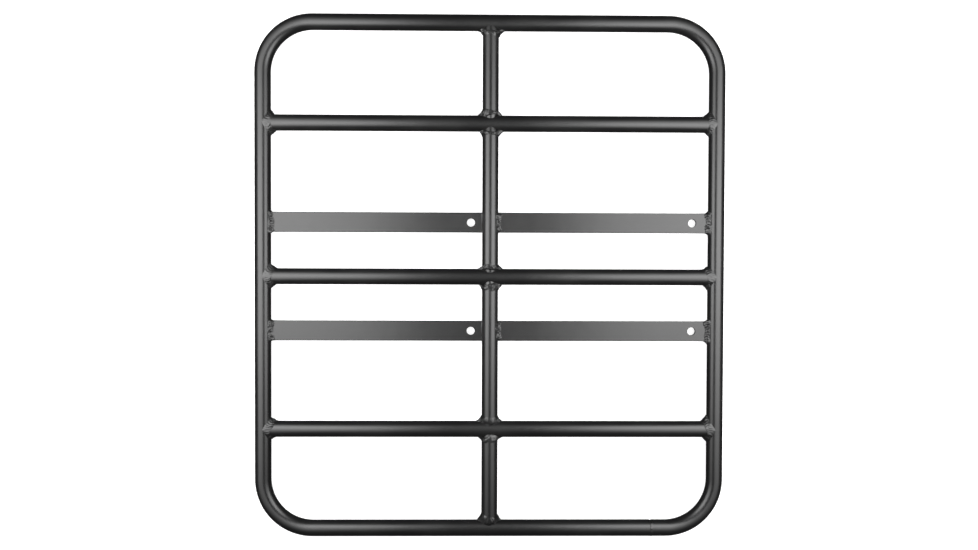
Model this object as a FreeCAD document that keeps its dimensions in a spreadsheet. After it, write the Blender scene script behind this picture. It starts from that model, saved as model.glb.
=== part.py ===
import FreeCAD, Part
import math
import os

import Sketcher

# Tubular luggage rack, lying flat: X across the rack, Y along it, Z up.
# The origin is at the centre of its base, under the middle of the tubes' lower edges.

# Driving dimensions, in millimetres.
DIMENSIONS = {
    "rack_width": ("585", "overall, across the side rails"),
    "rack_length": ("650", "overall, along the side rails"),
    "tube_diameter": ("20", "outside diameter of every tube"),
    "tube_wall": ("2", "wall of every tube"),
    "bend_radius": ("62", "ring corners, to the tube's centreline"),
    "end_bay": ("124.5", "each end rail to the nearest crossbar, between centrelines"),
    "strap_pitch": ("67.5", "middle crossbar to each strap's centreline"),
    "strap_width": ("25", "flat bar, measured in the rack's plane"),
    "strap_thickness": ("4", "flat bar"),
    "strap_edge": ("0.8", "rounding along the flat bar's long edges"),
    "hole_diameter": ("10", "bolt hole"),
    "spine_to_hole": ("24", "spine's centreline to the left bolt holes"),
    "rail_to_hole": ("30.5", "right rail's centreline to the right bolt holes"),
    "cope_gap": ("0.1", "clearance between a coped tube end and the tube it meets"),
    "butt_gap": ("0.1", "clearance between a square end and the tube it meets"),
    "cope_weld_leg": ("6.5", "leg of the bead in the crotch of a coped joint"),
    "weld_crown": ("0.5", "how far below a tube's crown a bead between two tubes stops"),
    "butt_weld_leg": ("6.5", "leg of the bead at a spine tube's square end, along the spine"),
    "butt_weld_inset": ("5.5", "crossed tube's axis to the inner edge of that bead"),
    "strap_weld_leg": ("5", "leg of the strap's bead, along the strap"),
    "strap_weld_rise": ("4", "rise of the strap's bead above the strap's face, on the tube"),
    "strap_weld_wrap": ("3", "how far the strap's bead wraps past the strap's edges"),
    "weld_toe": ("0.3", "thickness of a bead where it ends"),
    "seam_to_bend": ("18", "ring seam to the start of the lower right bend"),
    "seam_width": ("3", "butt weld that closes the ring"),
    "seam_notch": ("1.5", "depth of the gap left in the seam on the ring's inner side"),
}

TUBE_R = "Sizes.tube_diameter / 2"
BORE_R = "(Sizes.tube_diameter / 2 - Sizes.tube_wall)"
RAIL_X = "((Sizes.rack_width - Sizes.tube_diameter) / 2)"
RAIL_Y = "((Sizes.rack_length - Sizes.tube_diameter) / 2)"
SEAM_X = f"({RAIL_X} - Sizes.bend_radius - Sizes.seam_to_bend)"
BAR_Y = {"upper": f"({RAIL_Y} - Sizes.end_bay)", "middle": "0", "lower": f"(Sizes.end_bay - {RAIL_Y})"}
STRAP_Y = {"upper": "Sizes.strap_pitch", "lower": "-Sizes.strap_pitch"}

X_AXIS = FreeCAD.Vector(1, 0, 0)
Y_AXIS = FreeCAD.Vector(0, 1, 0)
Z_AXIS = FreeCAD.Vector(0, 0, 1)
UNTURNED = FreeCAD.Rotation()
ALONG_X = FreeCAD.Rotation(Y_AXIS, 90)  # local Z runs along X, local Y stays along Y
ALONG_Y = FreeCAD.Rotation(FreeCAD.Vector(1, 1, 1), -120)  # local Z along Y, local Y along X
FACING_X = FreeCAD.Rotation(FreeCAD.Vector(1, 1, 1), 120)  # local Z along X, local X along Y

doc = FreeCAD.newDocument("luggage_rack")
sheet = doc.addObject("Spreadsheet::Sheet", "Sizes")
for row, (alias, (value, meaning)) in enumerate(DIMENSIONS.items(), start=1):
    sheet.set(f"A{row}", value)
    sheet.setAlias(f"A{row}", alias)
    sheet.set(f"B{row}", meaning)
doc.recompute()

nodes = []


def size(expression):
    """The value of an expression on the sheet, used only to draw a sketch near its final size."""
    value = sheet.evalExpression(expression)
    return float(getattr(value, "Value", value))


def bind(thing, **expressions):
    """Ties properties of an object to expressions; a double underscore stands for a dot."""
    for name, expression in expressions.items():
        thing.setExpression(name.replace("__", "."), expression)


def place(thing, x="0", y="0", rotation=UNTURNED):
    """Puts a piece on the plane of the tubes' centrelines, which is one tube radius above the base."""
    thing.Placement.Rotation = rotation
    bind(thing, Placement__Base__x=x, Placement__Base__y=y, Placement__Base__z=TUBE_R)


def as_node(thing, label):
    """Marks an object as a piece of the rack; its label names its file."""
    thing.Label = label
    nodes.append(thing)
    return thing


def sketch_on(body, role, name, offset=None):
    """A sketch on one of the body's own origin planes, moved along the plane's normal by offset."""
    sketch = body.newObject("Sketcher::SketchObject", name)
    plane = next(f for f in body.Origin.OriginFeatures if f.Role == role)
    sketch.AttachmentSupport = [(plane, "")]
    sketch.MapMode = "FlatFace"
    if offset:
        bind(sketch, AttachmentOffset__Base__z=offset)
    return sketch


def constrain(sketch, expression, *constraint):
    """Adds a dimension to a sketch and ties it to an expression."""
    index = sketch.addConstraint(Sketcher.Constraint(*constraint, size(expression)))
    sketch.setExpression(f"Constraints[{index}]", expression)


def circle(sketch, radius, across=None, up=None):
    """A circle at signed distances from the sketch's origin; None is on the axis."""
    centre = FreeCAD.Vector(size(across or "0"), size(up or "0"), 0)
    geo = sketch.addGeometry(Part.Circle(centre, Z_AXIS, size(radius)))
    constrain(sketch, radius, "Radius", geo)
    for kind, axis, distance in (("DistanceX", -2, across), ("DistanceY", -1, up)):
        if distance is None:
            sketch.addConstraint(Sketcher.Constraint("PointOnObject", geo, 3, axis))
        else:
            constrain(sketch, distance, kind, -1, 1, geo, 3)


def pad(body, sketch, name, length):
    """A symmetric pad of a sketch."""
    feature = body.newObject("PartDesign::Pad", name)
    feature.Profile = sketch
    feature.SideType = "Symmetric"
    bind(feature, Length=length)
    return feature


def cut_through(body, sketch, name):
    """A pocket right through the body, both ways from its sketch."""
    feature = body.newObject("PartDesign::Pocket", name)
    feature.Profile = sketch
    feature.Type = "ThroughAll"
    feature.SideType = "Symmetric"
    return feature


def bent_ring():
    """The outer tube: one length bent round four corners, from one side of the seam to the other."""
    body = as_node(doc.addObject("PartDesign::Body", "RingBody"), "outer_ring")
    path = sketch_on(body, "XY_Plane", "RingPath")
    reach_x, reach_y, bend = size(RAIL_X), size(RAIL_Y), size("Sizes.bend_radius")
    inner_x, inner_y = reach_x - bend, reach_y - bend
    seam_start = f"{SEAM_X} + Sizes.seam_width / 2"
    seam_end = f"{SEAM_X} - Sizes.seam_width / 2"
    # corners in the order of the path: centre and the angle at which each bend starts
    corners = [
        (inner_x, -inner_y, -90),
        (inner_x, inner_y, 0),
        (-inner_x, inner_y, 90),
        (-inner_x, -inner_y, 180),
    ]
    here = FreeCAD.Vector(size(seam_start), -reach_y, 0)
    geometry = []
    for centre_x, centre_y, start in corners:
        centre = FreeCAD.Vector(centre_x, centre_y, 0)
        whole = Part.Circle(centre, Z_AXIS, bend)
        arc = Part.ArcOfCircle(whole, math.radians(start), math.radians(start + 90))
        geometry += [Part.LineSegment(here, arc.StartPoint), arc]
        here = arc.EndPoint
    geometry.append(Part.LineSegment(here, FreeCAD.Vector(size(seam_end), -reach_y, 0)))
    geos = path.addGeometry(geometry)
    for one, following in zip(geos, geos[1:]):
        path.addConstraint(Sketcher.Constraint("Tangent", one, 2, following, 1))
    first, right, top, left, last = geos[0::2]
    bends = geos[1::2]
    constrain(path, "Sizes.bend_radius", "Radius", bends[0])
    for other in bends[1:]:
        path.addConstraint(Sketcher.Constraint("Equal", bends[0], other))
    for line in (right, left):
        path.addConstraint(Sketcher.Constraint("Vertical", line))
    for line in (first, top, last):
        path.addConstraint(Sketcher.Constraint("Horizontal", line))
    constrain(path, RAIL_X, "DistanceX", -1, 1, right, 1)
    constrain(path, RAIL_X, "DistanceX", left, 1, -1, 1)
    constrain(path, RAIL_Y, "DistanceY", -1, 1, top, 1)
    constrain(path, RAIL_Y, "DistanceY", first, 1, -1, 1)
    constrain(path, RAIL_Y, "DistanceY", last, 2, -1, 1)
    constrain(path, seam_start, "DistanceX", -1, 1, first, 1)
    constrain(path, seam_end, "DistanceX", -1, 1, last, 2)
    section = sketch_on(body, "YZ_Plane", "RingSection", seam_start)
    for radius in (TUBE_R, BORE_R):
        circle(section, radius, across=f"-{RAIL_Y}")
    doc.recompute()
    pipe = body.newObject("PartDesign::AdditivePipe", "RingTube")
    pipe.Profile = section
    pipe.Spine = (path, [f"Edge{index + 1}" for index in range(len(geos))])
    place(body)


def coped_tube(label, span, y):
    """A crossbar between the side rails, whose centrelines are span apart, with a saddle at each end."""
    body = as_node(doc.addObject("PartDesign::Body", label.title().replace("_", "") + "Body"), label)
    section = sketch_on(body, "XY_Plane", f"{label}_section")
    for radius in (TUBE_R, BORE_R):
        circle(section, radius)
    tube = pad(body, section, f"{label}_tube", span)
    saddles = sketch_on(body, "XZ_Plane", f"{label}_saddles")
    for side in ("", "-"):
        circle(saddles, f"{TUBE_R} + Sizes.cope_gap", up=f"{side}({span}) / 2")
    coped = cut_through(body, saddles, f"{label}_copes")
    place(body, y=y, rotation=ALONG_X)
    return tube, coped


def square_tube(label, far, near):
    """A spine tube, cut square at both ends, between two crossed tubes with centrelines at far and near."""
    body = as_node(doc.addObject("PartDesign::Body", label.title().replace("_", "") + "Body"), label)
    section = sketch_on(body, "XY_Plane", f"{label}_section")
    for radius in (TUBE_R, BORE_R):
        circle(section, radius)
    pad(body, section, f"{label}_tube", f"({far}) - ({near}) - Sizes.tube_diameter - 2 * Sizes.butt_gap")
    place(body, y=f"(({far}) + ({near})) / 2", rotation=ALONG_Y)


def half_strap(label, x, y, tube_to_hole):
    """Half a mounting strap, square-cut between two tubes, with its bolt hole towards its right end."""
    body = as_node(doc.addObject("PartDesign::Body", label.title().replace("_", "") + "Body"), label)
    section = sketch_on(body, "YZ_Plane", f"{label}_section")
    half_width, half_thickness = size("Sizes.strap_width / 2"), size("Sizes.strap_thickness / 2")
    corner_points = [(-half_width, -half_thickness), (half_width, -half_thickness),
                     (half_width, half_thickness), (-half_width, half_thickness)]
    corners = [FreeCAD.Vector(across, up, 0) for across, up in corner_points]
    sides = section.addGeometry([Part.LineSegment(corners[i], corners[(i + 1) % 4]) for i in range(4)])
    for i in range(4):
        section.addConstraint(Sketcher.Constraint("Coincident", sides[i], 2, sides[(i + 1) % 4], 1))
        section.addConstraint(Sketcher.Constraint("Vertical" if i % 2 else "Horizontal", sides[i]))
    section.addConstraint(Sketcher.Constraint("Symmetric", sides[0], 1, sides[1], 2, -1, 1))
    constrain(section, "Sizes.strap_width", "DistanceX", sides[0], 1, sides[0], 2)
    constrain(section, "Sizes.strap_thickness", "DistanceY", sides[1], 1, sides[1], 2)
    bar = pad(body, section, f"{label}_bar", f"{RAIL_X} - Sizes.tube_diameter - 2 * Sizes.butt_gap")
    doc.recompute()
    long_edges = [f"Edge{i}" for i, edge in enumerate(bar.Shape.Edges, start=1)
                  if abs(edge.tangentAt(edge.FirstParameter).x) > 0.99]
    rounding = body.newObject("PartDesign::Fillet", f"{label}_rounding")
    rounding.Base = (bar, long_edges)
    bind(rounding, Radius="Sizes.strap_edge")
    hole = sketch_on(body, "XY_Plane", f"{label}_hole")
    circle(hole, "Sizes.hole_diameter / 2", across=f"{RAIL_X} / 2 - {tube_to_hole}")
    drilled = cut_through(body, hole, f"{label}_bolt_hole")
    place(body, x, y)
    return bar, drilled


def rod(name, rotation, reach):
    """A solid round bar of the tube's outside diameter through the origin, used to trim weld beads."""
    bar = doc.addObject("Part::Cylinder", name)
    bar.Placement.Rotation = rotation
    bind(bar, Radius=TUBE_R, Height=f"2 * ({reach})")
    direction = rotation.multVec(Z_AXIS)
    for axis in ("x", "y"):
        if abs(getattr(direction, axis)) > 0.5:
            bind(bar, **{f"Placement__Base__{axis}": f"-({reach})"})
    return bar


def cope_bead():
    """The two fillets in the crotch where a tube leaves another one along +X.

    Both tubes have the same diameter, so they meet along half ellipses in the two planes at 45 degrees.
    Each fillet's face is that half ellipse moved out along the 45 degree line, and the tubes trim the rest.
    """
    leg = "Sizes.cope_weld_leg"
    reach = f"{TUBE_R} + 2 * {leg}"
    outline = doc.addObject("Part::Ellipse", "BeadOutline")
    outline.Placement.Rotation = FreeCAD.Rotation(Z_AXIS, 45) * FreeCAD.Rotation(X_AXIS, 90)
    bind(outline, MajorRadius=f"sqrt(2) * {TUBE_R}", MinorRadius=TUBE_R)
    bind(outline, Placement__Base__x=f"{leg} / 2", Placement__Base__y=f"{leg} / 2")
    swept = doc.addObject("Part::Extrusion", "BeadSwept")
    swept.Base = outline
    swept.DirMode = "Custom"
    swept.Dir = FreeCAD.Vector(1, -1, 0)
    swept.Solid = True
    swept.Symmetric = True
    bind(swept, LengthFwd=f"2 * ({reach})")
    corner = doc.addObject("Part::Box", "BeadCorner")
    bind(corner, Length=reach, Width=reach, Height=f"2 * ({TUBE_R} - Sizes.weld_crown)")
    bind(corner, Placement__Base__z=f"Sizes.weld_crown - {TUBE_R}")
    inside = doc.addObject("Part::Common", "BeadInside")
    inside.Base = swept
    inside.Tool = corner
    trimmed = inside
    for name, rotation in (("BranchRod", ALONG_X), ("MainRod", ALONG_Y)):
        cut = doc.addObject("Part::Cut", f"Bead{name}Cut")
        cut.Base = trimmed
        cut.Tool = rod(name, rotation, reach)
        trimmed = cut
    other_side = doc.addObject("Part::Mirroring", "BeadOtherSide")
    other_side.Source = trimmed
    other_side.Normal = Y_AXIS
    return [trimmed, other_side]


def round_bar(name, radius, start, length):
    """A round bar along X."""
    bar = doc.addObject("Part::Cylinder", name)
    bar.Placement.Rotation = ALONG_X
    bind(bar, Radius=radius, Height=length, Placement__Base__x=start)
    return bar


def butt_bead():
    """The bead round a tube's square end, where the tube stands on another one of its size along +X.

    It is a cone between two ellipses: a flat one on the crossed tube's shoulders, and one that clears the
    standing tube's sides but stays below its crown. Both tubes and the bore trim it.
    """
    leg, inset, toe = "Sizes.butt_weld_leg", "Sizes.butt_weld_inset", "Sizes.weld_toe"
    foot = (inset, f"2 * {TUBE_R} + {leg} - {inset}", f"sqrt(({TUBE_R}) ^ 2 - {inset} ^ 2) + {toe}")
    top = (f"{TUBE_R} + {leg}", f"{TUBE_R} + {toe}", f"{TUBE_R} - Sizes.weld_crown")
    sections = []
    for name, (x, half_y, half_z) in (("ButtFoot", foot), ("ButtTop", top)):
        ellipse = doc.addObject("Part::Ellipse", name)
        ellipse.Placement.Rotation = FACING_X
        bind(ellipse, MajorRadius=half_y, MinorRadius=half_z, Placement__Base__x=x)
        sections.append(ellipse)
    trimmed = doc.addObject("Part::Loft", "ButtCone")
    trimmed.Sections = sections
    trimmed.Solid = True
    trimmed.Ruled = True
    reach = f"3 * {TUBE_R} + {leg}"
    standing = round_bar("ButtStanding", TUBE_R, f"{TUBE_R} + Sizes.butt_gap", reach)
    bore = round_bar("ButtBore", BORE_R, "0", reach)
    for tool in (rod("ButtCrossed", ALONG_Y, reach), standing, bore):
        cut = doc.addObject("Part::Cut", f"{tool.Name}Cut")
        cut.Base = trimmed
        cut.Tool = tool
        trimmed = cut
    return [trimmed]


def strap_bead():
    """The bead round a strap's square end, where the strap leaves a tube along +X."""
    rise = "(Sizes.strap_thickness / 2 + Sizes.strap_weld_rise)"
    toe_z = "(Sizes.strap_thickness / 2 + Sizes.weld_toe)"
    tube_toe = f"sqrt(({TUBE_R}) ^ 2 - {rise} ^ 2)"
    strap_toe = f"({TUBE_R} + Sizes.strap_weld_leg)"
    slope = f"(({rise} - {toe_z}) / ({strap_toe} - {tube_toe}))"
    start = f"({tube_toe} - Sizes.weld_toe)"  # just inside the tube, so that the rod trims it
    start_z = f"({rise} + {slope} * Sizes.weld_toe)"
    wide = "(Sizes.strap_width / 2 + Sizes.strap_weld_wrap)"
    narrow = "(Sizes.strap_width / 2 + Sizes.weld_toe)"
    wedge = doc.addObject("Part::Wedge", "StrapBeadWedge")
    wedge.Placement.Rotation = FreeCAD.Rotation(Z_AXIS, -90)
    bind(wedge, Ymin=start, Ymax=strap_toe)
    bind(wedge, Xmin=f"-{wide}", Xmax=wide, Zmin=f"-{start_z}", Zmax=start_z)
    bind(wedge, X2min=f"-{narrow}", X2max=narrow, Z2min=f"-{toe_z}", Z2max=toe_z)
    end = doc.addObject("Part::Box", "StrapEnd")
    bind(end, Length=f"2 * {strap_toe}", Width="Sizes.strap_width", Height="Sizes.strap_thickness")
    bind(end, Placement__Base__y="-Sizes.strap_width / 2", Placement__Base__z="-Sizes.strap_thickness / 2")
    trimmed = wedge
    for tool in (rod("StrapBeadRod", ALONG_Y, "Sizes.strap_width"), end):
        cut = doc.addObject("Part::Cut", f"{tool.Name}Cut")
        cut.Base = trimmed
        cut.Tool = tool
        trimmed = cut
    return [trimmed]


def bead_copy(label, shapes, x, y, turn):
    """A weld node: a copy of a bead, turned about Z and put at a joint."""
    copy = as_node(doc.addObject("Part::Compound", label), label)
    copy.Links = shapes
    place(copy, x, y, FreeCAD.Rotation(Z_AXIS, turn))


def seam_bead():
    """The butt weld that closes the ring, open at a small notch on the ring's inner side."""
    solid = doc.addObject("Part::Cylinder", "SeamSolid")
    bore = doc.addObject("Part::Cylinder", "SeamBore")
    for cylinder, radius in ((solid, TUBE_R), (bore, BORE_R)):
        cylinder.Placement.Rotation = ALONG_X
        bind(cylinder, Radius=radius, Height="Sizes.seam_width")
    notch = doc.addObject("Part::Box", "SeamNotch")
    bind(notch, Length="Sizes.seam_width", Width=TUBE_R, Height=TUBE_R)
    bind(notch, Placement__Base__y=f"{TUBE_R} - Sizes.seam_notch", Placement__Base__z=f"-{TUBE_R} / 2")
    tube = doc.addObject("Part::Cut", "SeamTube")
    tube.Base = solid
    tube.Tool = bore
    bead = as_node(doc.addObject("Part::Cut", "SeamBead"), "weld_ring_seam")
    bead.Base = tube
    bead.Tool = notch
    place(bead, f"{SEAM_X} - Sizes.seam_width / 2", f"-{RAIL_Y}")


bent_ring()
cuts = []
for bar, bar_y in BAR_Y.items():
    cuts.append(coped_tube(f"{bar}_crossbar", f"2 * {RAIL_X}", bar_y))
spine_lengths = {
    "spine_top": (RAIL_Y, BAR_Y["upper"]),
    "spine_upper_middle": (BAR_Y["upper"], BAR_Y["middle"]),
    "spine_lower_middle": (BAR_Y["middle"], BAR_Y["lower"]),
    "spine_bottom": (BAR_Y["lower"], f"-{RAIL_Y}"),
}
for label, (far, near) in spine_lengths.items():
    square_tube(label, far, near)
for level, strap_y in STRAP_Y.items():
    cuts.append(half_strap(f"strap_{level}_left", f"-{RAIL_X} / 2", strap_y, "Sizes.spine_to_hole"))
    cuts.append(half_strap(f"strap_{level}_right", f"{RAIL_X} / 2", strap_y, "Sizes.rail_to_hole"))

cope_shapes = cope_bead()
butt_shapes = butt_bead()
for bar, bar_y in BAR_Y.items():
    bead_copy(f"weld_{bar}_left", cope_shapes, f"-{RAIL_X}", bar_y, 0)
    bead_copy(f"weld_{bar}_right", cope_shapes, RAIL_X, bar_y, 180)
    bead_copy(f"weld_spine_above_{bar}", butt_shapes, "0", bar_y, 90)
    bead_copy(f"weld_spine_below_{bar}", butt_shapes, "0", bar_y, -90)
bead_copy("weld_spine_top_rail", butt_shapes, "0", RAIL_Y, -90)
bead_copy("weld_spine_bottom_rail", butt_shapes, "0", f"-{RAIL_Y}", 90)
strap_shapes = strap_bead()
for level, strap_y in STRAP_Y.items():
    bead_copy(f"weld_strap_{level}_left_rail", strap_shapes, f"-{RAIL_X}", strap_y, 0)
    bead_copy(f"weld_strap_{level}_left_spine", strap_shapes, "0", strap_y, 180)
    bead_copy(f"weld_strap_{level}_right_spine", strap_shapes, "0", strap_y, 0)
    bead_copy(f"weld_strap_{level}_right_rail", strap_shapes, RAIL_X, strap_y, 180)
seam_bead()

doc.recompute()

for thing in doc.Objects:
    if {"Invalid", "Error"} & set(thing.State):
        raise RuntimeError(f"{thing.Name} failed: {thing.State}")
for whole, cut in cuts:
    if not cut.Shape.Volume < whole.Shape.Volume - 1:
        raise RuntimeError(f"{cut.Name} removed nothing")
for node in nodes:
    if node.Shape.isNull() or not node.Shape.isValid() or not node.Shape.Solids:
        raise RuntimeError(f"{node.Label} has no sound solid")

os.makedirs("parts", exist_ok=True)
for node in nodes:
    node.Shape.exportStep(f"parts/{node.Label}.step")
    print(f"{node.Label}: {len(node.Shape.Solids)} solid(s), {node.Shape.Volume:.1f} mm3")
print(f"{len(nodes)} nodes")
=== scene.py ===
import math
import random

import bmesh
import bpy
from mathutils import Matrix, Vector


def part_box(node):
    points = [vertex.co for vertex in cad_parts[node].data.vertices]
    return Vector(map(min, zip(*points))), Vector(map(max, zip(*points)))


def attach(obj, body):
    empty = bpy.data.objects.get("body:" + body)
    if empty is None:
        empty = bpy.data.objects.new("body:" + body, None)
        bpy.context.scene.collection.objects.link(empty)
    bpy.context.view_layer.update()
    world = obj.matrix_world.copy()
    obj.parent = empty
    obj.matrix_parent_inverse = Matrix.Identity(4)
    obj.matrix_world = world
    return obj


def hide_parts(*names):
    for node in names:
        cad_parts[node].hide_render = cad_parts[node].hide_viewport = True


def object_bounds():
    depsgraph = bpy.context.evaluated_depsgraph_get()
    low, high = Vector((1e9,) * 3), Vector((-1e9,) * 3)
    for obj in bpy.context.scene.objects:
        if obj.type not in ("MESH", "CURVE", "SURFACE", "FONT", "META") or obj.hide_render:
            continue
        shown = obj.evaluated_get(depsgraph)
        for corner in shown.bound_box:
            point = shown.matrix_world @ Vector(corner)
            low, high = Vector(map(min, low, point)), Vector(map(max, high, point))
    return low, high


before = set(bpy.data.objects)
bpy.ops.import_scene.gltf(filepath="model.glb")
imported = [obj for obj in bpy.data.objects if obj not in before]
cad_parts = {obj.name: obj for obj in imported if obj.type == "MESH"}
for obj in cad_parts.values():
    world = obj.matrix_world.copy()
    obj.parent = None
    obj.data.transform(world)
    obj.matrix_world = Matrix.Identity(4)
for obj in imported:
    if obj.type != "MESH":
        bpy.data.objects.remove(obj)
cad_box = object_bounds()

MM = 0.001

# ---------------------------------------------------------------------------------------------
# Node trees
# ---------------------------------------------------------------------------------------------


class Wire:
    """A node's socket in arithmetic: each operator adds the Math or Vector Math node that it names."""

    def __init__(self, tree, socket):
        self.tree = tree
        self.socket = socket

    def reckon(self, operation, *operands):
        parts = [one.socket if isinstance(one, Wire) else one for one in operands]
        vector = any(getattr(part, "type", "") == "VECTOR" for part in parts)
        kind = "ShaderNodeVectorMath" if vector else "ShaderNodeMath"
        if vector and operation == "MULTIPLY" and any(not is_vector(part) for part in parts):
            operation = "SCALE"
            parts.sort(key=lambda part: not is_vector(part))
            return self.tree.add(kind, {"operation": operation}, {"Vector": parts[0], "Scale": parts[1]})
        return self.tree.add(kind, {"operation": operation}, dict(enumerate(parts)))

    def __add__(self, other):
        return self.reckon("ADD", self, other)

    def __radd__(self, other):
        return self.reckon("ADD", other, self)

    def __sub__(self, other):
        return self.reckon("SUBTRACT", self, other)

    def __rsub__(self, other):
        return self.reckon("SUBTRACT", other, self)

    def __mul__(self, other):
        return self.reckon("MULTIPLY", self, other)

    def __truediv__(self, other):
        return self.reckon("DIVIDE", self, other)

    def __rtruediv__(self, other):
        return self.reckon("DIVIDE", other, self)

    def __pow__(self, other):
        return self.reckon("POWER", self, other)

    def __rpow__(self, other):
        return self.reckon("POWER", other, self)

    def __gt__(self, other):
        return self.reckon("GREATER_THAN", self, other)

    def __lt__(self, other):
        return self.reckon("LESS_THAN", self, other)

    def fraction(self):
        return self.reckon("FRACT", self)

    def root(self):
        return self.reckon("SQRT", self)

    def at_most(self, other):
        return self.reckon("MINIMUM", self, other)

    def at_least(self, other):
        return self.reckon("MAXIMUM", self, other)

    def distance(self, other):
        """How far apart two vectors are."""
        operation = {"operation": "DISTANCE"}
        return self.tree.add("ShaderNodeVectorMath", operation, {0: self, 1: other}, out="Value")


def is_vector(part):
    """Whether a socket or a plain value is a vector."""
    return getattr(part, "type", "") == "VECTOR" or isinstance(part, (tuple, Vector))


class Tree:
    """One node tree, shader or geometry."""

    def __init__(self, nodes):
        self.nodes = nodes

    def add(self, kind, settings=None, sockets=None, out=0):
        """Any node: its settings first, then the values or links of its sockets, by name or number."""
        node = self.nodes.nodes.new(kind)
        for name, value in (settings or {}).items():
            if name == "stops":
                self.set_stops(node.color_ramp, value)
            else:
                setattr(node, name, value)
        for key, value in (sockets or {}).items():
            socket = node.inputs[key] if isinstance(key, int) else self.named(node.inputs, key)
            value = value.socket if isinstance(value, Wire) else value
            if isinstance(value, bpy.types.NodeSocket):
                self.nodes.links.new(value, socket)
            else:
                socket.default_value = value
        if out is None:
            return node
        found = node.outputs[out] if isinstance(out, int) else self.named(node.outputs, out)
        return Wire(self, found)

    def split(self, vector):
        """The X, Y and Z of a vector."""
        node = self.add("ShaderNodeSeparateXYZ", None, {"Vector": vector}, out=None)
        return [Wire(self, node.outputs[axis]) for axis in "XYZ"]

    @staticmethod
    def named(sockets, name):
        """The socket in use that has a name: some nodes have several, one for each data type."""
        return next(one for one in sockets if one.name == name and one.enabled)

    @staticmethod
    def set_stops(ramp, stops):
        """Puts (position, grey) stops on a colour ramp."""
        while len(ramp.elements) < len(stops):
            ramp.elements.new(0.5)
        for element, (position, grey) in zip(ramp.elements, stops):
            element.position = position
            element.color = (grey, grey, grey, 1)


class Grower(Tree):
    def __init__(self, name, **inputs):
        group = bpy.data.node_groups.new(name, "GeometryNodeTree")
        super().__init__(group)
        group.interface.new_socket("Geometry", in_out="INPUT", socket_type="NodeSocketGeometry")
        for key, value in inputs.items():
            kind = "NodeSocketInt" if isinstance(value, int) else "NodeSocketFloat"
            group.interface.new_socket(words(key), in_out="INPUT", socket_type=kind).default_value = value
        group.interface.new_socket("Material", in_out="INPUT", socket_type="NodeSocketMaterial")
        group.interface.new_socket("Geometry", in_out="OUTPUT", socket_type="NodeSocketGeometry")
        self.entry = group.nodes.new("NodeGroupInput")
        self.given = {one.name: Wire(self, one) for one in self.entry.outputs if one.name}

    def __getitem__(self, name):
        return self.given[name]

    def field(self, name, kind="FLOAT"):
        """An attribute that the mesh brings with it."""
        return self.add("GeometryNodeInputNamedAttribute", {"data_type": kind}, {"Name": name})

    def join(self, first, second):
        """Two geometries in one."""
        both = self.add("GeometryNodeJoinGeometry", None, {"Geometry": first})
        self.nodes.links.new(second.socket, both.socket.node.inputs[0])
        return both

    def thicken(self, sheet, wall):
        """A closed wall from an open sheet: the sheet is its outer face."""
        inner = self.add("GeometryNodeExtrudeMesh", {"mode": "FACES"},
                         {"Mesh": sheet, "Offset Scale": 0 - wall, "Individual": False})
        inner = self.add("GeometryNodeFlipFaces", None, {"Mesh": inner})
        both = self.join(sheet, inner)
        return self.add("GeometryNodeMergeByDistance", None, {"Geometry": both, "Distance": 0.01 * MM})

    def finish(self, mesh, crease=0.6):
        """Smooth shading except across creases, then the two closing nodes."""
        angle = self.add("GeometryNodeInputMeshEdgeAngle")
        mesh = self.add("GeometryNodeSetShadeSmooth", {"domain": "FACE"}, {"Geometry": mesh})
        mesh = self.add("GeometryNodeSetShadeSmooth", {"domain": "EDGE"},
                        {"Geometry": mesh, "Shade Smooth": angle < crease})
        mesh = self.add("GeometryNodeRealizeInstances", None, {"Geometry": mesh})
        mesh = self.add("GeometryNodeSetMaterial", None, {"Geometry": mesh, "Material": self["Material"]})
        self.add("NodeGroupOutput", None, {"Geometry": mesh}, out=None)
        return self


def words(key):
    """The name of the input that a key such as tube_radius stands for."""
    return key.replace("_", " ").capitalize()


def grow(grower, material, source=None, modifiers=(), **inputs):
    """The plain mesh that a tree makes from a source mesh and its named inputs."""
    holder = bpy.data.objects.new("holder", source or bpy.data.meshes.new("holder"))
    bpy.context.scene.collection.objects.link(holder)
    modifier = holder.modifiers.new("grower", "NODES")
    modifier.node_group = grower.nodes
    values = {words(key): value for key, value in inputs.items()} | {"Material": material}
    for item in grower.nodes.interface.items_tree:
        if item.in_out == "INPUT" and item.name in values:
            modifier[item.identifier] = values[item.name]
    for kind, settings in modifiers:
        extra = holder.modifiers.new(kind, kind)
        for name, value in settings.items():
            setattr(extra, name, value)
    depsgraph = bpy.context.evaluated_depsgraph_get()
    mesh = bpy.data.meshes.new_from_object(
        holder.evaluated_get(depsgraph), preserve_all_data_layers=True, depsgraph=depsgraph)
    holder_data = holder.data
    bpy.data.objects.remove(holder)
    bpy.data.meshes.remove(holder_data)
    return mesh


def stand_in(name, mesh, node, place=Matrix.Identity(4)):
    """Makes a finished piece from a mesh, put in its place, that is shown instead of a CAD node."""
    mesh.transform(place)
    mesh.name = name
    piece = bpy.data.objects.new(name, mesh)
    bpy.context.scene.collection.objects.link(piece)
    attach(piece, "root")
    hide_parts(node)
    return piece


# ---------------------------------------------------------------------------------------------
# Black powder coat
# ---------------------------------------------------------------------------------------------


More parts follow.
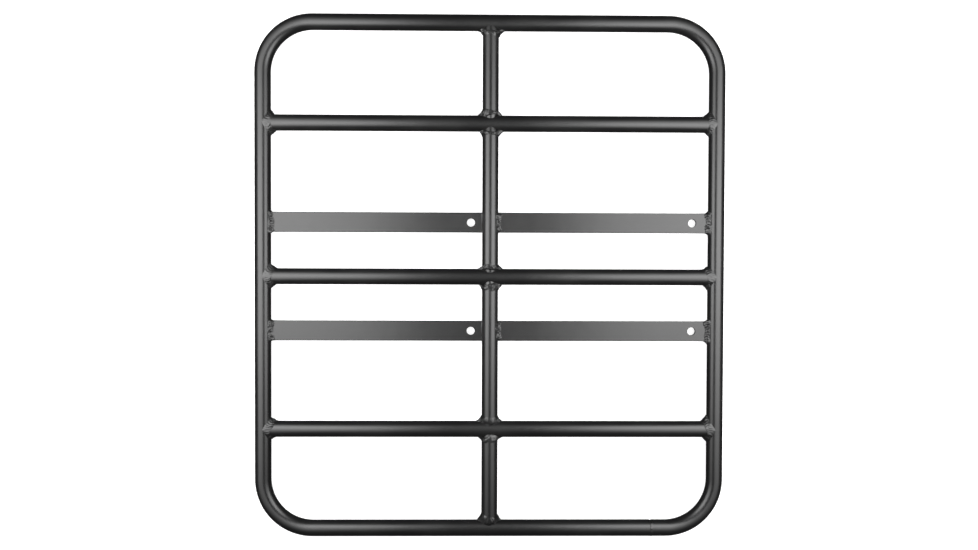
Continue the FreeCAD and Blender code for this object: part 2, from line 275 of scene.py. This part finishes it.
def powder_coat(name, base, roughness, peel, waviness, grain):
    """Satin black powder coat. Peel, waviness and grain are the heights of its three textures, in metres."""
    material = bpy.data.materials.new(name)
    material.use_nodes = True
    material.node_tree.nodes.clear()
    tree = Tree(material.node_tree)
    spot = tree.add("ShaderNodeTexCoord", out="Object")

    def noise(size, detail=2.0):
        return tree.add("ShaderNodeTexNoise", None,
                        {"Vector": spot, "Scale": 1 / size, "Detail": detail, "Roughness": 0.5}, out="Fac")

    film = noise(3.0 * MM)
    run = noise(14 * MM, 1.0)
    speck = noise(0.35 * MM)
    cloud = noise(60 * MM, 3.0)
    height = film * peel + run * waviness + speck * grain
    bump = tree.add("ShaderNodeBump", None,
                    {"Strength": 1.0, "Distance": 1.0, "Height": height}, out="Normal")
    dust = tree.add("ShaderNodeValToRGB", {"stops": [(0.45, 0.0), (0.75, 1.0)]}, {"Fac": cloud})
    tint = tree.add("ShaderNodeMix", {"data_type": "RGBA"},
                    {"Factor": dust, "A": (base, base, base * 1.02, 1),
                     "B": (base * 1.7, base * 1.7, base * 1.68, 1)}, out="Result")
    rough = roughness + (cloud - 0.5) * 0.10 + (speck - 0.5) * 0.08
    shader = tree.add("ShaderNodeBsdfPrincipled", None,
                      {"Base Color": tint, "Roughness": rough, "Normal": bump, "IOR": 1.5})
    tree.add("ShaderNodeOutputMaterial", None, {"Surface": shader}, out=None)
    return material


tube_coat = powder_coat("powder coat on tube", 0.005, 0.31, 0.020 * MM, 0.02 * MM, 0.002 * MM)
bar_coat = powder_coat("powder coat on flat bar", 0.005, 0.36, 0.020 * MM, 0.10 * MM, 0.003 * MM)
bead_coat = powder_coat("powder coat on weld", 0.006, 0.31, 0.030 * MM, 0.02 * MM, 0.004 * MM)

# ---------------------------------------------------------------------------------------------
# The rack's own dimensions: from the frame where its boxes give them, else stated here
# ---------------------------------------------------------------------------------------------

ring_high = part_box("outer_ring")[1]
TUBE_R = (cad_box[1].z - cad_box[0].z) / 2
WALL = 2.0 * MM
BEND_R = 62.0 * MM  # of the ring's corners, on the tube's centreline
COPE_R = TUBE_R + 0.1 * MM
EDGE_R = 0.8 * MM  # the rounding of the flat bar's edges
BOLT_HOLE_R = 5.0 * MM
RAIL_X = ring_high.x - TUBE_R
RAIL_Y = ring_high.y - TUBE_R
SIDES = 72  # faces round a tube


def middle(node):
    """The middle of a node's box."""
    low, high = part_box(node)
    return (low + high) / 2


BARS = {level: middle(f"{level}_crossbar").y for level in ("upper", "middle", "lower")}
STRAPS = {level: middle(f"strap_{level}_left").y for level in ("upper", "lower")}
ALONG_X = Matrix(((0, 0, 1), (0, 1, 0), (-1, 0, 0))).to_4x4()


def at(x, y, turn=None):
    """A place on the plane of the tubes' centrelines, turned about Z in degrees or by a matrix."""
    rotation = turn if isinstance(turn, Matrix) else Matrix.Rotation(math.radians(turn or 0), 4, "Z")
    return Matrix.Translation((x, y, TUBE_R)) @ rotation


# ---------------------------------------------------------------------------------------------
# Tubes
# ---------------------------------------------------------------------------------------------


def coped_tube_tree():
    """A tube along Z whose ends are cut to a saddle that fits a tube along Y."""
    tree = Grower("coped tube", span=0.5, tube_radius=0.01, wall=0.002, cope_radius=0.0101, sides=48)
    sheet = tree.add("GeometryNodeMeshCylinder", {"fill_type": "NONE"},
                     {"Vertices": tree["Sides"], "Side Segments": 12,
                      "Radius": tree["Tube radius"], "Depth": tree["Span"]}, out="Mesh")
    tube = tree.thicken(sheet, tree["Wall"])
    across, _, along = tree.split(tree.add("GeometryNodeInputPosition"))
    reach = (tree["Cope radius"] ** 2 - across * across).root()
    keep = 1 - reach / (tree["Span"] / 2)
    shift = tree.add("ShaderNodeCombineXYZ", None, {"Z": along * keep - along})
    tube = tree.add("GeometryNodeSetPosition", None, {"Geometry": tube, "Offset": shift})
    return tree.finish(tube)


def bent_tube_tree():
    """A tube along a path of straight runs, bent to one radius at the path's corners."""
    tree = Grower("bent tube", tube_radius=0.01, wall=0.002, bend_radius=0.06, sides=48, bend_steps=24)
    path = tree.add("GeometryNodeMeshToCurve", None, {"Mesh": tree["Geometry"]})
    path = tree.add("GeometryNodeFilletCurve", {"mode": "POLY"},
                    {"Curve": path, "Radius": tree["Bend radius"], "Count": tree["Bend steps"],
                     "Limit Radius": True})
    section = tree.add("GeometryNodeCurvePrimitiveCircle", {"mode": "RADIUS"},
                       {"Resolution": tree["Sides"], "Radius": tree["Tube radius"]})
    sheet = tree.add("GeometryNodeCurveToMesh", None, {"Curve": path, "Profile Curve": section})
    return tree.finish(tree.thicken(sheet, tree["Wall"]))


coped_tube = coped_tube_tree()
bent_tube = bent_tube_tree()


def tube_along(points):
    """A tube along straight runs through points (x, y), bent at the corners."""
    path = bpy.data.meshes.new("path")
    path.from_pydata([(x, y, 0) for x, y in points], [(i, i + 1) for i in range(len(points) - 1)], [])
    return grow(bent_tube, tube_coat, path, tube_radius=TUBE_R, wall=WALL, bend_radius=BEND_R,
                sides=SIDES, bend_steps=28)


seam_low, seam_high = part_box("weld_ring_seam")
corners = [(RAIL_X, -RAIL_Y), (RAIL_X, RAIL_Y), (-RAIL_X, RAIL_Y), (-RAIL_X, -RAIL_Y)]
stand_in("ring_tube", tube_along([(seam_high.x, -RAIL_Y), *corners, (seam_low.x, -RAIL_Y)]),
         "outer_ring", at(0, 0))

for level, y in BARS.items():
    tube = grow(coped_tube, tube_coat, span=2 * RAIL_X, tube_radius=TUBE_R, wall=WALL,
                cope_radius=COPE_R, sides=SIDES)
    stand_in(f"{level}_crossbar_tube", tube, f"{level}_crossbar", at(0, y, ALONG_X))

for node in ("spine_top", "spine_upper_middle", "spine_lower_middle", "spine_bottom"):
    low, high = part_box(node)
    stand_in(f"{node}_tube", tube_along([(0, low.y), (0, high.y)]), node, at(0, 0))

# ---------------------------------------------------------------------------------------------
# Flat bars with their bolt holes
# ---------------------------------------------------------------------------------------------


def flat_bar_tree():
    """A flat bar along X with one hole. Edges carry their own rounding as a bevel weight."""
    tree = Grower("flat bar", length=0.25, width=0.025, thickness=0.004, hole_radius=0.005,
                  hole_x=0.1, rim_rounding=0.3)
    outline = tree.add("GeometryNodeCurvePrimitiveQuadrilateral", {"mode": "RECTANGLE"},
                       {"Width": tree["Length"], "Height": tree["Width"]})
    hole = tree.add("GeometryNodeCurvePrimitiveCircle", {"mode": "RADIUS"},
                    {"Resolution": 64, "Radius": tree["Hole radius"]})
    centre = tree.add("ShaderNodeCombineXYZ", None, {"X": tree["Hole x"]})
    hole = tree.add("GeometryNodeTransform", None, {"Geometry": hole, "Translation": centre})
    face = tree.add("GeometryNodeFillCurve", {"mode": "NGONS"}, {"Curve": tree.join(outline, hole)})
    drop = tree.add("ShaderNodeCombineXYZ", None, {"Z": tree["Thickness"] / 2})
    face = tree.add("GeometryNodeSetPosition", None, {"Geometry": face, "Offset": drop})
    plate = tree.thicken(face, tree["Thickness"])
    flat = tree.add("GeometryNodeInputPosition") * (1.0, 1.0, 0.0)
    rim = flat.distance(centre) < tree["Hole radius"] * 1.05
    sharp = tree.add("GeometryNodeInputMeshEdgeAngle") > 1.0
    weight = sharp * (1 - rim * (1 - tree["Rim rounding"]))
    plate = tree.add("GeometryNodeStoreNamedAttribute", {"data_type": "FLOAT", "domain": "EDGE"},
                     {"Geometry": plate, "Name": "bevel_weight_edge", "Value": weight})
    return tree.finish(plate, crease=3.2)


flat_bar = flat_bar_tree()
ROUND_EDGES = ("BEVEL", {"limit_method": "WEIGHT", "width": EDGE_R, "segments": 5,
                         "offset_type": "OFFSET", "harden_normals": True})
HOLES_X = {"left": -24.0 * MM, "right": RAIL_X - 30.5 * MM}
for level, y in STRAPS.items():
    for side, hole_x in HOLES_X.items():
        low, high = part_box(f"strap_{level}_{side}")
        centre = (low + high) / 2
        bar = grow(flat_bar, bar_coat, modifiers=[ROUND_EDGES], length=high.x - low.x, width=high.y - low.y,
                   thickness=high.z - low.z, hole_radius=BOLT_HOLE_R, hole_x=hole_x - centre.x)
        stand_in(f"flat_bar_{level}_{side}", bar, f"strap_{level}_{side}", at(centre.x, y))

# ---------------------------------------------------------------------------------------------
# Weld beads
# ---------------------------------------------------------------------------------------------

FACE_STEPS = 12  # faces across a bead
TOE_DEPTH = 0.06 * MM  # how far a bead's toes lie below the surfaces that they meet
CROWN_ROOM = 0.2 * MM  # how far above the tubes a bead may stand before its ripples are added
CROWN_WANDER = 5.0  # millimetres that a bead's far edge moves for each unit of its wobble
SIDE_LEG = (4.2, 8.0)  # shortest and longest leg of the fillet beside a tube, in millimetres
SIDE_SAG = (-1.5, -0.1)  # how far that fillet's face is pulled in, most and least, in millimetres
NEAR_SPREAD = (0.85, 1.15)  # by what factor a bead's near edge differs from joint to joint
FAR_SPREAD = (0.95, 1.08)  # the same for its far edge
BACK_LEG = (4.5, 6.0)  # shortest and longest leg on a flat bar's hidden face, in millimetres
WRAP_SPREAD = (0.7, 1.2)  # by what factor the leg past a flat bar's edges differs from end to end
LONGEST_LEG = 5.4  # of a flat bar's bead along the tube's wall, in millimetres
FULL_LEG = 4.0  # the leg, in millimetres, from which a flat bar's bead is at its fullest
END_TAPER = 3.5 * MM  # the length over which a narrow front bead tapers off at the bar's edges
SEAM_OVERLAP = 0.5 * MM  # how far the seam's bead covers each end of the ring
SEAM_PROUD = 0.25  # how far the seam's bead stands above the tube, in millimetres
NOTCH_DEPTH = 1.3 * MM  # how low the seam's bead lies on the ring's inner side
NOTCH_FROM = 0.80  # where that low part begins, as the share of the way towards the inner side


def wobble(rng, strength):
    """A smooth random factor round a closed bead, near 1."""
    waves = [(rng.uniform(0.3, 1.0) / turns, turns, rng.uniform(0, 2 * math.pi)) for turns in (2, 3, 5, 8)]
    total = sum(size for size, _, _ in waves)

    def factor(turn):
        return 1 + strength * sum(
            size * math.sin(2 * math.pi * turns * turn + phase) for size, turns, phase in waves) / total * 2
    return factor


def bead_sheet(stations):
    """A closed bead lofted round its joint.

    Each station is a point inside the metal, the two toes, the two points that pull the face out between
    them, the outward direction, and how freely the face may ripple outwards.
    """
    section = FACE_STEPS + 2
    points, along, across, outward, room = [], [], [], [], []
    travelled = 0.0
    before = None
    for inside, toe_a, toe_b, (pull_a, pull_b), out, space in stations:
        ridge = (pull_a + pull_b) / 2
        if before is not None:
            travelled += (ridge - before).length
        before = ridge
        for step in range(FACE_STEPS + 1):
            u = step / FACE_STEPS
            v = 1 - u
            points.append(toe_a * v ** 3 + pull_a * 3 * v * v * u + pull_b * 3 * v * u * u + toe_b * u ** 3)
            across.append(2 * u - 1)
        points.append(inside)
        across.append(1.0)
        along += [travelled] * section
        outward += [out] * section
        room += [space] * (FACE_STEPS + 1) + [0.0]
    count = len(stations)
    faces = []
    for i in range(count):
        j = (i + 1) % count
        for k in range(section):
            m = (k + 1) % section
            faces.append((i * section + k, j * section + k, j * section + m, i * section + m))
    mesh = bpy.data.meshes.new("bead")
    mesh.from_pydata(points, [], faces)
    for name, kind, values in (("along", "FLOAT", along), ("across", "FLOAT", across),
                               ("room", "FLOAT", room), ("out", "FLOAT_VECTOR", outward)):
        layer = mesh.attributes.new(name, kind, "POINT")
        for item, value in zip(layer.data, values):
            if kind == "FLOAT":
                item.value = value
            else:
                item.vector = value
    return mesh


def bead_tree():
    """Ripples and lumps on a bead, kept within the ceiling's distance of the tubes' centrelines."""
    tree = Grower("weld bead", ripple_pitch=0.0031, ripple_height=0.0005, lump_size=0.0046,
                  lump_height=0.0014, ceiling=0.01025, seed=0)
    along, across, room = tree.field("along"), tree.field("across"), tree.field("room")
    bow = 1 - across * across
    phase = (along / tree["Ripple pitch"] + bow * 0.9).fraction()
    scallop = 0.6 - (phase * 2 - 1) ** 2
    spot = tree.add("GeometryNodeInputPosition")
    lumps = tree.add("ShaderNodeTexNoise", {"noise_dimensions": "4D"},
                     {"Vector": spot, "W": tree["Seed"] * 7.31, "Scale": 1 / tree["Lump size"],
                      "Detail": 2.0}, out="Fac")
    rise = (scallop * tree["Ripple height"] + (lumps * 2 - 1) * tree["Lump height"]) * room * bow.root()
    lumpy = spot + tree.field("out", "FLOAT_VECTOR") * rise
    x, y, z = tree.split(lumpy)
    z = z.at_most(tree["Ceiling"]).at_least(0 - tree["Ceiling"])
    capped = tree.add("ShaderNodeCombineXYZ", None, {"X": x, "Y": y, "Z": z})
    mesh = tree.add("GeometryNodeSetPosition", None, {"Geometry": tree["Geometry"], "Position": capped})
    return tree.finish(mesh)


def spatter_tree():
    """Specks of weld metal, one at each vertex of the source, half sunk in the tube."""
    tree = Grower("spatter", smallest=0.0002, largest=0.0006, seed=0)
    size = tree.add("FunctionNodeRandomValue", {"data_type": "FLOAT"},
                    {"Min": tree["Smallest"], "Max": tree["Largest"], "Seed": tree["Seed"]}, out="Value")
    ball = tree.add("GeometryNodeMeshIcoSphere", None, {"Radius": 1.0, "Subdivisions": 3}, out="Mesh")
    specks = tree.add("GeometryNodeInstanceOnPoints", None,
                      {"Points": tree["Geometry"], "Instance": ball, "Scale": size})
    specks = tree.add("GeometryNodeRealizeInstances", None, {"Geometry": specks})
    return tree.finish(specks, crease=3.0)


weld_bead = bead_tree()
spatter = spatter_tree()


def tube_stations(rng, near, far, proud, count=240):
    """Round the end of a tube that leaves another of its own size along +X.

    Over the leaving tube's crown the bead reaches from near to far, measured from the other tube's axis,
    and stands proud; at the sides it is a fillet with legs of its own.
    """
    near, far, proud = near * rng.uniform(*NEAR_SPREAD), far * rng.uniform(*FAR_SPREAD), proud * MM
    legs = {side: (rng.uniform(*SIDE_LEG), rng.uniform(*SIDE_LEG)) for side in (1, -1)}
    sag = {side: rng.uniform(*SIDE_SAG) for side in (1, -1)}
    vary_near, vary_far, vary_a, vary_b = (wobble(rng, 0.22) for _ in range(4))
    sunk = TUBE_R - TOE_DEPTH
    stations = []
    for i in range(count):
        turn = i / count
        angle = 2 * math.pi * turn
        sine, cosine = math.sin(angle), math.cos(angle)
        side = 1 if sine >= 0 else -1
        depth = abs(sine)
        quarter = math.asin(depth) / (math.pi / 2)
        start = math.asin(min(0.95, near * vary_near(turn) * MM / TUBE_R))
        lean = start + (math.pi / 2 - start) * quarter
        leg_a, leg_b = legs[side][0] * vary_a(turn) * MM, legs[side][1] * vary_b(turn) * MM
        top = 1 if cosine >= 0 else -1
        on_crossed = Vector((math.sin(lean), 0, top * math.cos(lean)))
        on_leaving = Vector((0, sine, cosine))
        toe_a = on_crossed * sunk + Vector((0, (TUBE_R + leg_a) * sine, 0))
        crown_end = (far + CROWN_WANDER * (vary_far(turn) - 1)) * MM
        toe_b = on_leaving * sunk + Vector((crown_end + (TUBE_R + leg_b - crown_end) * depth ** 2, 0, 0))
        out = (on_crossed + on_leaving).normalized()
        stand = min(proud, (TUBE_R + CROWN_ROOM) / max(abs(cosine), 0.2) - TUBE_R)
        below = max(0.0, TUBE_R - math.hypot(toe_a.y, toe_a.z))
        pulls = []
        for share, lift in ((1 / 3, 0.7 * below), (2 / 3, 0.0)):
            pull = toe_a.lerp(toe_b, share) + out * sag[side] * depth ** 2 * MM
            short = TUBE_R + stand - math.hypot(pull.y, pull.z)
            pulls.append(pull + on_leaving * (max(0.0, short) + lift))
        inside = on_leaving * 0.85 * TUBE_R
        inside.x = 0.96 * math.sqrt(TUBE_R ** 2 - inside.z ** 2)
        stations.append((inside, toe_a, toe_b, pulls, out, 0.5 + 0.5 * depth))
    return stations


def rounded_rectangle(half_width, half_height, corner, step):
    """Points (y, z) and outward directions round a rectangle with rounded corners, evenly spaced."""
    flat_y, flat_z = half_width - corner, half_height - corner
    runs = [((-flat_y, half_height), (flat_y, half_height), (0, 1)),
            ((half_width, flat_z), (half_width, -flat_z), (1, 0)),
            ((flat_y, -half_height), (-flat_y, -half_height), (0, -1)),
            ((-half_width, -flat_z), (-half_width, flat_z), (-1, 0))]
    points = []
    for index, (start, end, normal) in enumerate(runs):
        start, end, normal = Vector(start), Vector(end), Vector(normal)
        pieces = max(1, round((end - start).length / step))
        for i in range(pieces):
            points.append((start.lerp(end, i / pieces), normal))
        following = Vector(runs[(index + 1) % 4][2])
        pivot = end - normal * corner
        bends = max(3, round(corner * math.pi / 2 / step))
        for i in range(bends):
            direction = normal.slerp(following, i / bends)
            points.append((pivot + direction * corner, direction))
    return points


def strap_stations(rng, front_leg, wrap):
    """Round a flat bar's end, where the bar leaves a tube along +X. Front is the bar's upper face.

    Wrap is the leg of the bead past the bar's long edges; where it is small, the front bead tapers off too.
    Both legs are in millimetres.
    """
    low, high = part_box("strap_upper_left")
    half_width, half_height = (high.y - low.y) / 2, (high.z - low.z) / 2
    outline = rounded_rectangle(half_width, half_height, EDGE_R, step=0.35 * MM)
    vary_a, vary_b = wobble(rng, 0.2), wobble(rng, 0.22)
    edge_leg = {side: wrap * rng.uniform(*WRAP_SPREAD) for side in (1, -1)}
    back_leg = rng.uniform(*BACK_LEG)
    stations = []
    for i, (point, normal) in enumerate(outline):
        turn = i / len(outline)
        y, z = point
        root = Vector((math.sqrt(TUBE_R ** 2 - z * z), y, z))
        edge = abs(normal.x)
        face_leg = front_leg if z > 0 else back_leg
        if abs(z) < half_height * 0.99 and edge > 0.99:
            share = (z / half_height + 1) / 2
            face_leg = front_leg * share + back_leg * (1 - share)
        side = 1 if y > 0 else -1
        if wrap < 1:
            face_leg *= max(0.15, min(1.0, (half_width - abs(y)) / END_TAPER))
        leg_b = (face_leg * (1 - edge) + min(face_leg, edge_leg[side] * 1.2) * edge) * vary_b(turn) * MM
        leg_a = (min(face_leg * 1.15, LONGEST_LEG) * (1 - edge) + edge_leg[side] * edge) * vary_a(turn) * MM
        sunk = TUBE_R - TOE_DEPTH
        lean = math.asin(z / TUBE_R) + normal.y * leg_a / TUBE_R
        toe_a = Vector((sunk * math.cos(lean), y + normal.x * leg_a, sunk * math.sin(lean)))
        toe_b = root + Vector((leg_b, -normal.x * TOE_DEPTH, -normal.y * TOE_DEPTH))
        out = (Vector((root.x, 0, z)).normalized() + Vector((0, normal.x, normal.y))).normalized()
        full = min(1.0, face_leg / FULL_LEG)
        pulls = [toe_a.lerp(toe_b, share) - out * 0.5 * full * MM for share in (1 / 3, 2 / 3)]
        room = min(1.0, leg_a / (FULL_LEG * MM), leg_b / (FULL_LEG * MM)) ** 1.5
        stations.append((root - out * 1.2 * MM, toe_a, toe_b, pulls, out, room))
    return stations


def specks_beside(rng, count, place):
    """A few points on the two tubes of a joint, a little way out from its bead."""
    points = []
    for _ in range(count):
        away = rng.uniform(9, 22) * MM
        angle = rng.uniform(0.5, 2.4) * rng.choice((1, -1))
        sunk = TUBE_R - 0.15 * MM
        if rng.random() < 0.5:
            point = Vector((TUBE_R + away, sunk * math.sin(angle), sunk * math.cos(angle)))
        else:
            aside = rng.choice((1, -1)) * (TUBE_R + away)
            point = Vector((sunk * abs(math.sin(angle)), aside, sunk * math.cos(angle)))
        points.append(place @ point)
    mesh = bpy.data.meshes.new("specks")
    mesh.from_pydata(points, [], [])
    return mesh


def weld(name, node, stations, place, seed, specks=0, **inputs):
    """A finished bead, with its spatter in the same mesh."""
    mesh = grow(weld_bead, bead_coat, bead_sheet(stations), seed=seed, **inputs)
    mesh.transform(place)
    if specks:
        rng = random.Random(1000 + seed)
        dots = grow(spatter, bead_coat, specks_beside(rng, specks, place), seed=seed)
        mesh = joined(mesh, dots)
    return stand_in(name, mesh, node)


def joined(first, second):
    """One mesh from two that share a material."""
    both = bmesh.new()
    both.from_mesh(first)
    both.from_mesh(second)
    both.to_mesh(first)
    both.free()
    return first


JOINTS = []
CROSSING = (7.0, 16.0, 1.1)  # near, far and proud of a bead at a spine tube's square end, in millimetres
SADDLE = (0.8, 12.5, 1.0)  # the same at a crossbar's coped end
for level, y in BARS.items():
    JOINTS += [(f"{level}_left", -RAIL_X, y, 0, SADDLE), (f"{level}_right", RAIL_X, y, 180, SADDLE),
               (f"spine_above_{level}", 0, y, 90, CROSSING), (f"spine_below_{level}", 0, y, -90, CROSSING)]
JOINTS += [("spine_top_rail", 0, RAIL_Y, -90, CROSSING), ("spine_bottom_rail", 0, -RAIL_Y, 90, CROSSING)]
for seed, (label, x, y, turn, reach) in enumerate(JOINTS, start=1):
    weld(f"bead_{label}", f"weld_{label}", tube_stations(random.Random(seed), *reach), at(x, y, turn), seed,
         specks=5)

# where each end is, which way its bar leaves, and its bead's legs on the front and past the edges (mm)
ENDS = {"left_rail": (-RAIL_X, 0, 4.6, 2.2), "left_spine": (0, 180, 0.9, 0.5),
        "right_spine": (0, 0, 4.6, 0.6), "right_rail": (RAIL_X, 180, 5.0, 3.6)}
seed = len(JOINTS)
for level, y in STRAPS.items():
    for end, (x, turn, front_leg, wrap) in ENDS.items():
        seed += 1
        weld(f"bead_strap_{level}_{end}", f"weld_strap_{level}_{end}",
             strap_stations(random.Random(seed), front_leg, wrap), at(x, y, turn), seed)


def seam_stations(count=200):
    """Round the ring's tube at its butt seam, which runs along X; it is low on the ring's inner side."""
    half = (seam_high.x - seam_low.x) / 2 + SEAM_OVERLAP
    stations = []
    for i in range(count):
        angle = 2 * math.pi * i / count
        out = Vector((0, math.sin(angle), math.cos(angle)))
        notch = max(0.0, (out.y - NOTCH_FROM) / (1 - NOTCH_FROM)) ** 0.5
        radius = TUBE_R - NOTCH_DEPTH * notch
        toes = [out * (radius - TOE_DEPTH) + Vector((x, 0, 0)) for x in (-half, half)]
        pulls = [toe + out * SEAM_PROUD * (1 - notch) * MM for toe in toes]
        stations.append((out * (TUBE_R - WALL), *toes, pulls, out, 0.3))
    return stations


seam_x = (seam_low.x + seam_high.x) / 2
weld("bead_ring_seam", "weld_ring_seam", seam_stations(), at(seam_x, -RAIL_Y), 99)

# ---------------------------------------------------------------------------------------------
# Floor, backdrop, lights and camera
# ---------------------------------------------------------------------------------------------

scene = bpy.context.scene


FLOOR_DROP = 0.4 * MM  # the floor lies just below the undersides of the beads
FLOOR_GLOW = 0.88


def pale_stage():
    """A floor that turns up into a dome far away, seen by the camera and never by the coat's gloss."""
    mesh = bpy.data.meshes.new("floor")
    rings = [(0.0, 0.0), (3.0, 0.0), (8.0, 0.0), (11.0, 0.6),
             (13.0, 2.5), (13.0, 8.0), (9.0, 12.0), (0.0, 13.0)]
    steps = 48
    points, faces = [], []
    for radius, height in rings:
        for i in range(steps):
            angle = 2 * math.pi * i / steps
            points.append((radius * math.cos(angle), radius * math.sin(angle), height - FLOOR_DROP))
    for r in range(len(rings) - 1):
        for i in range(steps):
            j = (i + 1) % steps
            faces.append((r * steps + i, r * steps + j, (r + 1) * steps + j, (r + 1) * steps + i))
    mesh.from_pydata(points, [], faces)
    material = bpy.data.materials.new("pale floor")
    material.use_nodes = True
    material.node_tree.nodes.clear()
    tree = Tree(material.node_tree)
    paper = tree.add("ShaderNodeBsdfDiffuse", None, {"Color": (0.5, 0.5, 0.5, 1)})
    glow = tree.add("ShaderNodeEmission", None, {"Color": (1, 1, 1, 1), "Strength": FLOOR_GLOW})
    both = tree.add("ShaderNodeAddShader", None, {0: paper, 1: glow})
    tree.add("ShaderNodeOutputMaterial", None, {"Surface": both}, out=None)
    mesh.materials.append(material)
    floor = bpy.data.objects.new("floor", mesh)
    scene.collection.objects.link(floor)
    floor.visible_glossy = False
    floor.visible_diffuse = False


SOFTBOX_INNER = (0.18, 0.60)  # distance from the middle of the rack and height of each softbox's inner edge
SOFTBOX_OUTER = (0.66, 0.25)  # the same of its outer edge
SOFTBOX_LENGTH = 1.6
SOFTBOX_Y = 0.08
SOFTBOX_SPREAD = 0.27  # how far along from its middle a softbox's glow falls to about 0.6
SOFTBOX_WATTS = 36  # for each metre of its width


def softbox(name, side):
    """A rectangular light beside and above the rack, brightest across its middle; its length runs along Y."""
    (inner, high), (outer, low) = SOFTBOX_INNER, SOFTBOX_OUTER
    light = bpy.data.lights.new(name, "AREA")
    light.shape = "RECTANGLE"
    light.size = math.hypot(outer - inner, high - low)
    light.size_y = SOFTBOX_LENGTH
    light.energy = SOFTBOX_WATTS * light.size
    light.use_nodes = True
    light.node_tree.nodes.clear()
    tree = Tree(light.node_tree)
    _, along, _ = tree.split(tree.add("ShaderNodeNewGeometry", out="Parametric"))
    away = (along - 0.5) * light.size_y / SOFTBOX_SPREAD
    glow = math.e ** (away * away * -0.5)
    lit = tree.add("ShaderNodeEmission", None, {"Strength": glow})
    tree.add("ShaderNodeOutputLight", None, {"Surface": lit}, out=None)
    lamp = bpy.data.objects.new(name, light)
    lamp.location = (side * (inner + outer) / 2, SOFTBOX_Y, (high + low) / 2)
    lamp.rotation_euler = (0, side * math.atan2(high - low, outer - inner), 0)
    lamp.visible_camera = False
    scene.collection.objects.link(lamp)


pale_stage()
softbox("left softbox", -1)
softbox("right softbox", 1)

world = bpy.data.worlds.new("dim room")
world.use_nodes = True
world.node_tree.nodes["Background"].inputs["Color"].default_value = (0.05, 0.05, 0.05, 1)
scene.world = world

CAMERA_PLACE = (-0.0140, 0.0206, 1.000)
CAMERA_TILT = (-1.0647, -0.7304, 0.1956)  # in degrees, from looking straight down

lens = bpy.data.cameras.new("camera")
lens.lens = 29.206
lens.sensor_width = 36.0
camera = bpy.data.objects.new("camera", lens)
camera.location = CAMERA_PLACE
camera.rotation_euler = [math.radians(angle) for angle in CAMERA_TILT]
scene.collection.objects.link(camera)
scene.camera = camera
scene.view_settings.view_transform = "Standard"
